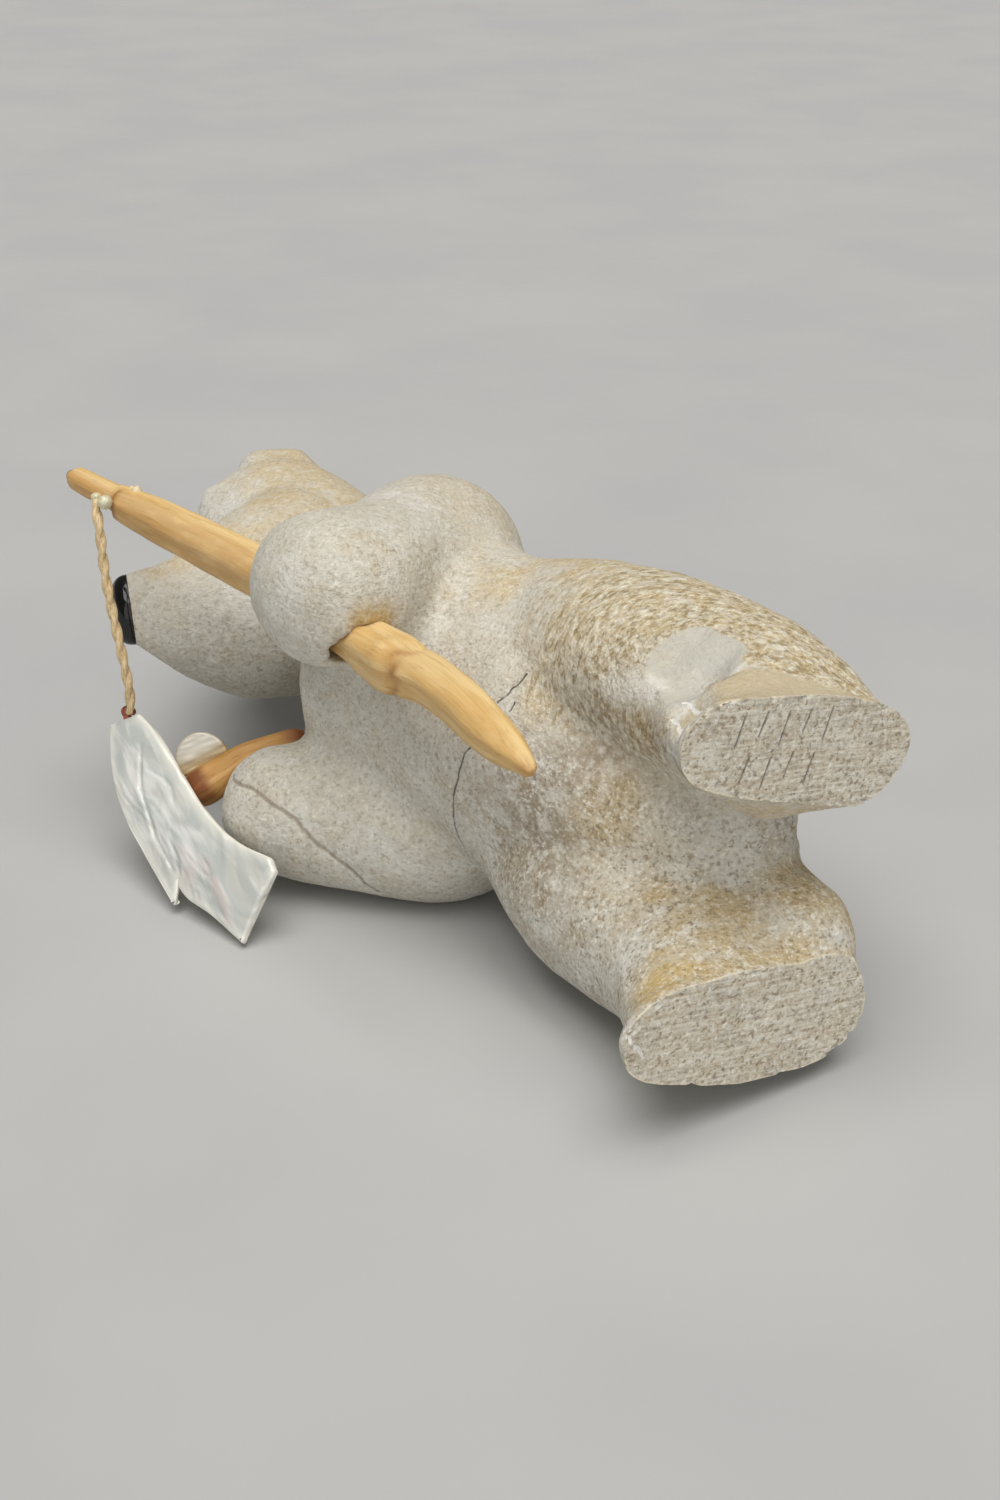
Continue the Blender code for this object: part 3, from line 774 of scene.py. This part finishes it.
def toe_radius(points):
    """The hollow's radius over the left toe, a little uneven."""
    return TOE_FACET_RADIUS + 0.3 * np.sin(0.8 * points[:, 1] + 0.6) + 0.25 * np.sin(1.1 * points[:, 2])


def shaped(points):
    """The block's points after the fuller places, the flat cuts and the hollow over the left toe."""
    for at, way, reach, amount in SWELLS:
        points = swell(points, at, way, reach, amount)
    for at, facing, reach in SHAVES:
        points = shave(points, at, facing, reach)
    away = points - TOE_FACET
    far = np.linalg.norm(away, axis=1)
    radius = toe_radius(points)
    hollow = TOE_FACET + away * (radius / far)[:, None]
    inside = (far < radius) * step(-0.1, 0.35, lip_height(points))
    return points + inside[:, None] * (hollow - points)


def stone_block():
    """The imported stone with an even, dense surface and clean flats."""
    bm = bmesh.new()
    bm.from_mesh(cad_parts["stone_bear"].data)
    bmesh.ops.remove_doubles(bm, verts=bm.verts, dist=SAME_POINT * MM)
    sole_x = max(v.co.x for v in bm.verts)
    muzzle_end, end_facing = Vector(to_world(MUZZLE_END)), Vector(TURN @ unit(MUZZLE_END_FACING))
    for v in bm.verts:
        if v.co.x > sole_x - SAME_POINT * MM:
            v.co.x += PAST_FLAT * MM
        away = v.co - muzzle_end
        if abs(away.dot(end_facing)) < ON_FLAT * MM and away.length < MUZZLE_END_REACH * MM:
            v.co += end_facing * PAST_FLAT * MM
    block = bpy.data.meshes.new("stone")
    bm.to_mesh(block)
    bm.free()
    fine = evaluated(block, ("REMESH", {"mode": "VOXEL", "voxel_size": STONE_GRID * MM}))
    points = np.array([v.co for v in fine.vertices])
    points = smooth_out(points, np.array([e.vertices[:] for e in fine.edges]), SMOOTH_ROUNDS)
    move(fine, to_world(shaped(to_bear(points))))
    bm = bmesh.new()
    bm.from_mesh(fine)
    bm.verts.layers.float.new("sawn")
    sole_rim = saw_off(bm, Vector((sole_x, 0, 0)), Vector((1, 0, 0)), 1, SAWN_GRID * MM)
    seat_rim = saw_off(bm, Vector(to_world(NOSE_SEAT)), Vector(TURN @ unit(NOSE_FACING)),
                       NOSE_SEAT_REACH * MM, 2 * SAWN_GRID * MM)
    bm.to_mesh(fine)
    bm.free()
    return fine, sole_rim, seat_rim


def refine(bm, wanted):
    """Makes the net twice as fine where wanted(places) says so."""
    verts = list(bm.verts)
    near = {v for v, chosen in zip(verts, wanted(to_bear([v.co for v in verts]))) if chosen}
    edges = [e for e in bm.edges if e.verts[0] in near and e.verts[1] in near]
    bmesh.ops.subdivide_edges(bm, edges=edges, cuts=1, use_grid_fill=True)


def stroke_lines():
    """The strokes on the left sole, in rows, each a little unlike the next."""
    half = STROKE_LENGTH / 2
    lines = []
    for x, row in STROKE_ROWS:
        for i, y in enumerate(row):
            shift, longer = 0.35 * math.sin(5 * y + x), 0.4 * math.cos(3 * i + x)
            lines.append([(x + shift + half + longer, y + STROKE_SLANT / 2, 0),
                          (x + shift - half - longer, y - STROKE_SLANT / 2, 0)])
    return lines


def ring_place(points):
    """Places round the rasp's axis, stretched along its rings: grain drawn in them makes short arcs."""
    axis = unit(RASP_AXIS)
    across = unit(np.cross(axis, (0, 0, 1)))
    away = points - RASP_AT
    u, v = away @ across, away @ np.cross(axis, across)
    ring = np.hypot(u, v)
    return np.stack([ring, np.arctan2(u, -v) * RING_STRETCH, away @ axis * 0.6], 1), ring


def rasped_part(points, ring):
    """How much of the rasping shows at each point."""
    back, up = points[:, 1], points[:, 2]
    region = step(4, 8, ring) * step(29, 24, ring + 2 * np.sin(0.5 * up)) * step(5, 10, points[:, 0])
    return region * step(0.2, 1.2, lip_height(points)) * step(-20, -14, back)


def laid_on(lines, points):
    """Lines joined smoothly and laid on the nearest points of the surface, with a slight wobble."""
    tree = tree_of(points)
    laid = []
    for k, line in enumerate(lines):
        path = catmull_rom(line, 6)
        path = np.array([tree.find(p)[0] for p in path])
        path[1:-1] = 0.25 * path[:-2] + 0.5 * path[1:-1] + 0.25 * path[2:]
        laid.append(path + 0.18 * np.stack([rough(path, 1.6, 30 + 3 * k + axis) for axis in range(3)], 1))
    return laid


def build_stone():
    mesh, sole_rim, seat_rim = stone_block()
    block = to_bear([v.co for v in mesh.vertices])
    cracks, scores, veins, chips = [laid_on(lines, block) for lines in (CRACKS, SCORES, [VEIN], CHIPS)]
    strokes = stroke_lines()
    bm = bmesh.new()
    bm.from_mesh(mesh)
    refine(bm, lambda places: rasped_part(places, ring_place(places)[1]) > 0.3)
    refine(bm, lambda places: from_lines(places, [*cracks, *scores, *veins, *strokes, *chips]) < 0.8)
    refine(bm, lambda places: from_lines(places, [*cracks, *scores, *strokes]) < 0.45)
    bmesh.ops.triangulate(bm, faces=[f for f in bm.faces if len(f.verts) > 4])
    bm.to_mesh(mesh)
    bm.free()
    mesh.update()
    points = to_bear([v.co for v in mesh.vertices])
    facing = np.array([n.vector for n in mesh.vertex_normals]) @ TURN
    sawn = np.array([value.value for value in mesh.attributes["sawn"].data])
    left, back, up = points.T

    strokes_place, ring = ring_place(points)
    rasped = rasped_part(points, ring) * (1 - sawn)
    above_lip = lip_height(points)
    hollow = step(0.4, 0.1, np.linalg.norm(points - TOE_FACET, axis=1) - toe_radius(points))
    smooth = hollow * step(-0.1, 0.3, above_lip) * step(0.3, 0.6, facing @ unit(TOE_FACET_LOOKS))
    bevel = step(0.2, -0.1, above_lip) * step(0.3, 0.7, facing[:, 0]) * step(-13, -10, back) * (1 - sawn)
    bevel *= step(0, 0.4, up) * step(0, 4, left)
    rasped *= 1 - np.maximum(smooth, bevel)

    depth = 0.16 * rough(points, 6, 1) + 0.06 * rough(points, 1.8, 2)
    depth *= 1 - 0.85 * np.maximum(sawn, np.maximum(smooth, bevel))
    depth += rasped * 0.05 * (1 + rough(strokes_place, 0.9, 3))
    for lines, width, deep in ((cracks, CRACK_WIDTH, CRACK_DEPTH), (scores, SCORE_WIDTH, SCORE_DEPTH),
                               (veins, VEIN_WIDTH, VEIN_DEPTH)):
        depth += deep * grooves(points, lines, width)
    scratched = grooves(points, strokes, STROKE_WIDTH)
    uneven = rough(points, 1.1, 5)
    chipped = step(1, 0.3, from_lines(points, chips) / CHIP_WIDTH + 0.2 * uneven)
    crack = from_lines(points, cracks)
    # The brown vein, and the scores darkened a little with the same brown: painted shade in their grooves.
    vein = np.minimum(from_lines(points, veins), 0.26 + from_lines(points, scores))
    # Painted highlight along the chest's ridge, and the pale band above the left toe.
    pale = np.max([step(1, 0.3, from_line(points, line)[0] / width + 0.25 * uneven)
                   for line, width in PALE_AND_HIGHLIGHT], axis=0)
    # How far each point is from the soles' sawn rim: chips there, and a painted highlight along it.
    rim = nearest(points, sole_rim)
    depth += STROKE_DEPTH * scratched + CHIP_DEPTH * chipped
    depth += RIM_CHIP_DEPTH * step(1, 0.2, rim) * step(0.15, 0.7, uneven)
    points -= depth[:, None] * facing
    # A pale line along the toe facet's lip where it faces up: painted highlight.
    lip = step(0.6, 0.15, abs(above_lip - 0.2)) * step(-10, -8.5, back) * step(0, -2, back)
    lip *= step(0.2, 0.5, facing[:, 0]) * (1 - sawn)

    outer = facing @ unit(RIND_LOOKS)
    rind = 0.75 - 0.45 * step(55, 62, up) + 0.35 * step(92, 100, up)
    rind -= 0.22 * step(60, 66, up) * step(100, 92, up) * step(4, -6, back)
    rind *= step(0.35, 0.9, outer + 0.25 * rough(points, 7, 7))
    rind = np.maximum(rind, 0.6 * rasped * step(-0.9, 0.2, outer))
    golden = np.clip(np.maximum(rind, patches(points, GOLDEN)) * (1 - sawn), 0, 1)
    calm = step(60, 68, up) * step(-4, 4, left)
    grainy = step(60, 35, up) * step(8, 0, left)
    grainy *= 0.35 + 0.65 * step(-0.35, 0.25, rough(points, 7, 11))
    coarse = np.clip(0.2 + 0.8 * sawn + 0.75 * grainy, 0, 1)

    move(mesh, np.clip(to_world(points), cad_low, cad_high))
    stone = as_piece("carved_stone", mesh, sandstone())
    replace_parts(stone, "stone_bear")
    put_attributes(stone, place=points * MM, strokes=strokes_place * MM, rasped=rasped, golden=golden,
                   coarse=coarse, calm=calm, smooth=smooth, bevel=bevel, chipped=chipped,
                   stained=np.clip(patches(points, STAINS), 0, 1), scratched=0.8 * scratched,
                   crack=crack, vein=vein, rim=rim, pale=np.maximum(pale, lip))
    return seat_rim


def build_line():
    """Two plies twisted round each other, as one skin."""
    def plies(path, along, angle, radius):
        turn = angle - 2 * math.pi * along / TWIST_PITCH
        return PLY_OFFSET * abs(np.cos(turn)) + np.sqrt(PLY_RADIUS ** 2 - (PLY_OFFSET * np.sin(turn)) ** 2)

    line = tube("twisted_line", [(*at, LINE_THICK / 2) for at in LINE], plies, sinew(), 20, 28)
    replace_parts(line, "fishing_line")
    return line


def facet(angle, at, depth):
    """The share of a round stick's radius that is left where a flat is cut on one side."""
    return np.minimum(1, (1 - depth) / np.maximum(np.cos(angle - at), 0.2))


def build_rod():
    """The whittled twig: flats, a shoulder below the paw, a knot in the wood and a notch for the line."""
    def whittled(path, along, angle, radius):
        z = path[:, 2:3]
        flats = facet(angle, 0.15, 0.12) * facet(angle, -1.6, 0.11)
        flats = flats * facet(angle, 2.2, 0.1) * facet(angle, -2.8, 0.08)
        knot = 1 + 0.10 * np.exp(-((z - ROD_KNOT) / 1.5) ** 2) * step(0.55, 0.95, np.cos(angle + 0.5))
        dent = 1 - 0.06 * np.exp(-((z - ROD_BAND + 1.2 * np.cos(angle)) / 0.7) ** 2)
        cut = step(ROD_NOTCH - 0.3, ROD_NOTCH + 0.3, z) * (1 - 0.6 * step(108, 112, z))
        notch = 1 - 0.26 * cut * step(-0.1, 0.5, np.cos(angle + 1.45))
        grain = 1 + 0.012 * np.sin(9 * angle + 0.4 * z) + 0.008 * np.sin(5 * angle - 0.9 * z)
        return radius * flats * knot * dent * notch * grain

    def marks(path, along, angle):
        z = path[:, 2:3]
        below = step(-0.5, 0.5, np.cos(angle + 1.6))
        band = np.exp(-((z - ROD_BAND + 1.2 * np.cos(angle) + 0.7 * np.sin(3 * angle)) / 1.1) ** 2)
        band = band * (0.12 + 0.7 * below) * (0.7 + 0.3 * np.sin(7 * angle + 2 * z))
        # Darker in the notch for the line, on its lower side: painted shadow.
        notch = np.exp(-((z - ROD_NOTCH + 0.1) / 0.5) ** 2) * below
        # A dark line along part of the far upper edge: painted shadow.
        upper_edge_shadow = np.exp(-((angle - 0.95) / 0.12) ** 2) * step(62, 72, z) * step(97, 90, z)
        # The lower side darker all along, and more so from the paw up: painted shade on the underside.
        under = 0.35 * below * step(56, 70, z) + 0.15 * below
        return np.clip(band + notch + under + 0.6 * upper_edge_shadow + 0.4 * step(24, 21.5, z), 0, 1)

    mat = wood("rod_wood", (0.83, 0.6, 0.28), (0.74, 0.48, 0.18), (0.38, 0.17, 0.045))
    rod = tube("whittled_rod", ROD, whittled, mat, 10, 48, ROD_TOP, marks)
    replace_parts(rod, "fishing_rod")


def build_fish():
    # The last two colours: painted sheen for the streaks, and a painted highlight for the rim.
    mat = pearl("fish_pearl", (0.6, 0.595, 0.55), (0.51, 0.54, 0.51), (0.6, 0.56, 0.53),
                (0.79, 0.79, 0.76), (0.9, 0.88, 0.79))
    place = lying_at(FISH_HEAD, FISH_FACING, np.subtract(FISH_TAIL, FISH_HEAD))
    outline = outline_of(FISH)

    def carved(points):
        lines = sum(depth * grooves(points, [line], width) for line, width, depth in FISH_LINES)
        lobe = catmull_rom(FISH_LINES[0][0], 4)
        beyond = np.interp(points[:, 0], lobe[:, 0], lobe[:, 1])
        lobes = 0.25 * step(0, 1.4, beyond - points[:, 1]) * step(6, 12, points[:, 0])
        pillow = 0.3 * step(3.2, 0, nearest(points, outline))
        return lines + lobes + pillow + 0.06 * np.sin(points[:, 0] * 0.5)

    def marks(points):
        # Brighter near the outline: a painted highlight along the rim.
        return 0.6 * step(1.8, 0.2, nearest(points, outline))

    fish = plate("pearl_fish", outline, place, FISH_THICKNESS, FISH_EDGE, FISH_GRID, mat, marks, carved)
    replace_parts(fish, "shell_fish")
    return fish


def build_handle():
    def fat(path, along, angle, radius):
        return radius * facet(angle, 0.3, 0.12) * facet(angle, -1.3, 0.1) * facet(angle, 2.6, 0.1)

    def marks(path, along, angle):
        # The lower side of the thick end darker: painted shade.
        thick_end_shade = step(13.6, 15.2, along) * step(0, 0.8, np.cos(angle + 1.5))
        # The thin end darker where it meets the chest: painted shadow.
        return np.clip(step(5, 0.5, along) + thick_end_shade, 0, 1)

    mat = wood("handle_wood", (0.62, 0.36, 0.12), (0.51, 0.265, 0.07), (0.22, 0.07, 0.02))
    handle = tube("hatchet_grip", HANDLE, fat, mat, 10, 40, BLADE_UP, marks)
    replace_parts(handle, "hatchet_handle")


def build_blade():
    along = np.subtract(HANDLE[-2][:3], HANDLE[1][:3])
    low = math.asin((BLADE_FLAT - BLADE_MIDDLE) / BLADE_RISE)
    arc = np.array([(BLADE_RADIUS * math.cos(t), BLADE_MIDDLE + BLADE_RISE * math.sin(t))
                    for t in np.linspace(low, math.pi - low, 40)])
    place = lying_at(BLADE_AT, np.cross(along, BLADE_UP), along)
    # The last two colours: painted sheen for the streaks, and brown for painted shade and a painted
    # reflection of the handle.
    mat = pearl("blade_shell", (0.56, 0.51, 0.42), (0.48, 0.45, 0.38), (0.5, 0.41, 0.28),
                (0.74, 0.71, 0.63), (0.4, 0.27, 0.1))

    def marks(points):
        # Brown near the straight edge by the handle: painted shade and a painted reflection of the handle's
        # wood.
        return step(BLADE_FLAT + 3.2, BLADE_FLAT + 0.2, points[:, 1])

    blade = plate("shell_blade", arc, place, BLADE_THICKNESS, BLADE_EDGE, BLADE_GRID, mat, marks)
    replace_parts(blade, "hatchet_blade")


def build_nose(seat_rim):
    """A polished cap on the muzzle's sawn end, with the same outline there and a rounded front."""
    way = unit(NOSE_FACING)
    side = unit(np.cross(way, (0, 0, 1)))
    top = np.cross(way, side)
    middle = seat_rim.mean(0)
    away = seat_rim - middle
    angle = np.arctan2(away @ top, away @ side)
    order = np.argsort(angle)
    turn = np.linspace(-math.pi, math.pi, NOSE_SIDES, endpoint=False)
    radius = np.interp(turn, angle[order], np.linalg.norm(away, axis=1)[order], period=2 * math.pi)
    radius = np.mean([np.roll(radius, k) for k in (-2, -1, 0, 1, 2)], axis=0)
    outward = radius[:, None] * (np.cos(turn)[:, None] * side + np.sin(turn)[:, None] * top)
    rings = [middle + 0.96 * outward - NOSE_SUNK * way]
    for t in np.sin(np.linspace(0, math.pi / 2, NOSE_RINGS)[:-1]):
        share = (1 - t ** NOSE_ROUND) ** (1 / NOSE_ROUND)
        rings.append(middle + share * outward + t * NOSE_HEIGHT * way)
    points = np.vstack([*rings, middle - NOSE_SUNK * way, middle + NOSE_HEIGHT * way])
    faces = capped(len(rings), NOSE_SIDES)
    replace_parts(from_arrays("jet_nose", to_world(points), faces, jet()), "nose")


def build_camera():
    camera = link("camera", bpy.data.cameras.new("camera"))
    camera.location = CAMERA_AT
    camera.rotation_euler = (math.pi / 2 - ELEVATION, 0, AZIMUTH)
    camera.data.lens = LENS
    camera.data.sensor_width = SENSOR
    camera.data.clip_start = NEAREST_SEEN
    bpy.context.scene.camera = camera


def build_room():
    """A pale floor under a broad soft light from above and a weaker one from the side of the feet."""
    rings = [(FLOOR_FLAT + (FLOOR_REACH - FLOOR_FLAT) * t, FLOOR_RISE * t * t)
             for t in np.linspace(0, 1, FLOOR_RINGS)]
    around = [(math.cos(a), math.sin(a)) for a in np.linspace(0, 2 * math.pi, FLOOR_SIDES, endpoint=False)]
    faces = [tuple(range(FLOOR_SIDES)), *[face[::-1] for face in skin(len(rings), FLOOR_SIDES)]]
    mesh = bpy.data.meshes.new("floor")
    mesh.from_pydata([(far * x, far * y, high) for far, high in rings for x, y in around], [], faces)
    mesh.polygons.foreach_set("use_smooth", [False] + [True] * (len(faces) - 1))
    mesh.materials.append(pale_floor())
    floor = link("floor", mesh)
    for name, (way, strength, wide) in (("soft_box", KEY_LIGHT), ("side_box", SIDE_LIGHT)):
        light = bpy.data.lights.new(name, "SUN")
        light.energy = strength
        light.angle = math.radians(wide)
        light.color = (1, 0.99, 0.97)
        link(name, light).rotation_euler = (-Vector(way)).to_track_quat("-Z", "Y").to_euler()
    world = bpy.data.worlds.new("studio")
    world.use_nodes = True
    glow = world.node_tree.nodes["Background"].inputs
    glow["Color"].default_value = (1, 0.98, 0.95, 1)
    glow["Strength"].default_value = ROOM_LIGHT
    bpy.context.scene.world = world
    bpy.context.scene.view_settings.view_transform = "Standard"


build_camera()
line = build_line()
fish = build_fish()
fish_glue = drops("fish_glue", FISH_GLUE, glue("brown_glue", (0.3, 0.07, 0.03), (0.14, 0.03, 0.015)), 3)
knot = drops("line_lobes", KNOT, glue("knot_wax", (0.72, 0.7, 0.5), (0.62, 0.56, 0.36)), 4)
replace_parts(knot, "line_knot")
build_nose(build_stone())
build_rod()
build_handle()
build_blade()
drops("rod_glue", ROD_GLUE, glue("pale_glue", (0.8, 0.7, 0.48), (0.7, 0.55, 0.32)), 5)
build_room()
